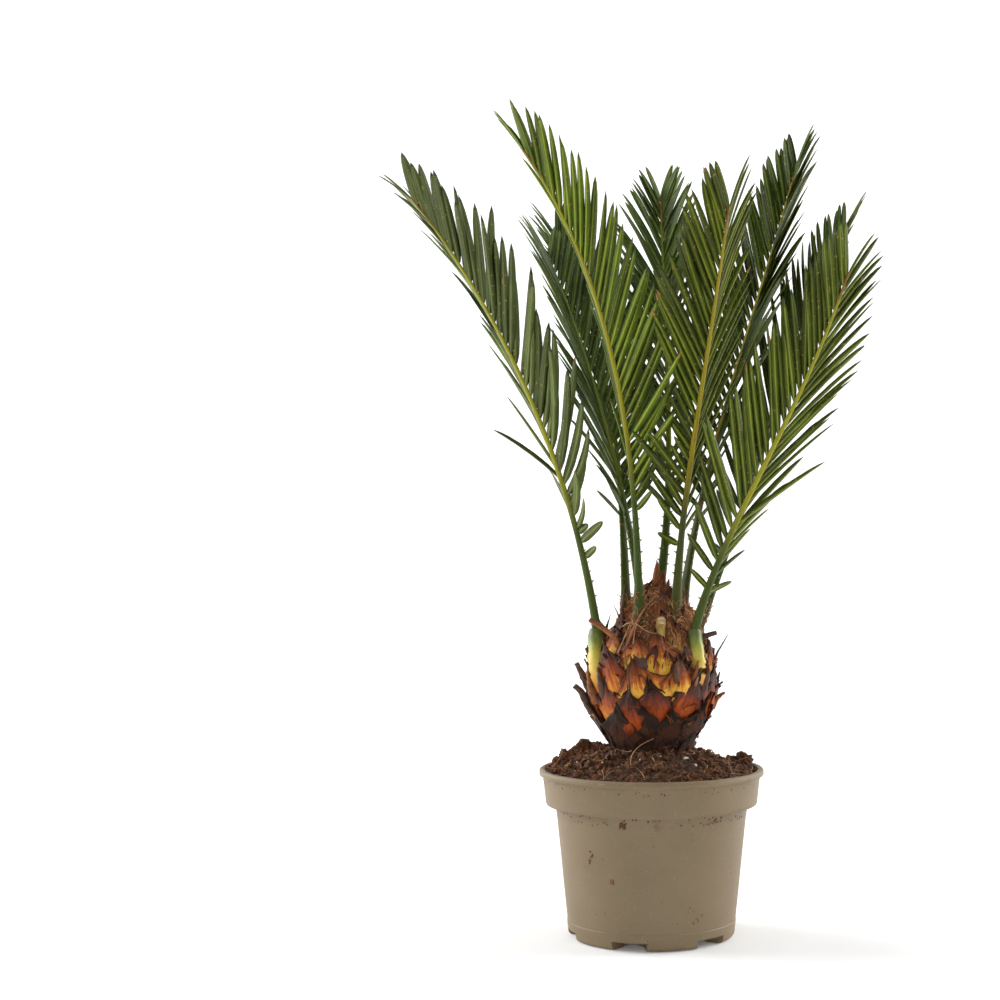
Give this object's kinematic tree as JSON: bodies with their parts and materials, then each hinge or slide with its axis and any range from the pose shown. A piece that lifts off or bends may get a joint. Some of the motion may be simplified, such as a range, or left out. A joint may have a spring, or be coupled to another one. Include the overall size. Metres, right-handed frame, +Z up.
{
  "type": "potted sago palm",
  "caption": "Young sago palm in a plain nursery pot: a bulbous caudex clad in old leaf bases, and a rosette of stiff feathered fronds on spiny stalks",
  "frame": {"origin": "On the ground, under the middle of the pot, on the flat disc of its underside", "axes": "+Z up, +X to the right and -Y to the front as the picture sees the plant"},
  "size_m": [0.3313, 0.2783, 0.5649],
  "materials": {
    "pot_plastic": "matt taupe moulded plastic, scuffed and specked with peat",
    "peat": "damp dark peat with fibres, fine roots and white grit",
    "leaf_bases": "overlapping old leaf bases, brown felt with cream and orange faces",
    "leaf_green": "stiff leathery leaflets with a light midrib on yellow-green ribs"
  },
  "bodies": {
    "root": {"pot": "pot_plastic", "soil": "peat", "caudex": "leaf_bases", "frond_left": "leaf_green", "frond_front_left": "leaf_green", "frond_front": "leaf_green", "frond_front_right": "leaf_green", "frond_right": "leaf_green", "frond_rear_right": "leaf_green", "frond_rear": "leaf_green", "frond_rear_left": "leaf_green", "frond_far_left": "leaf_green"}
  },
  "joints": []
}
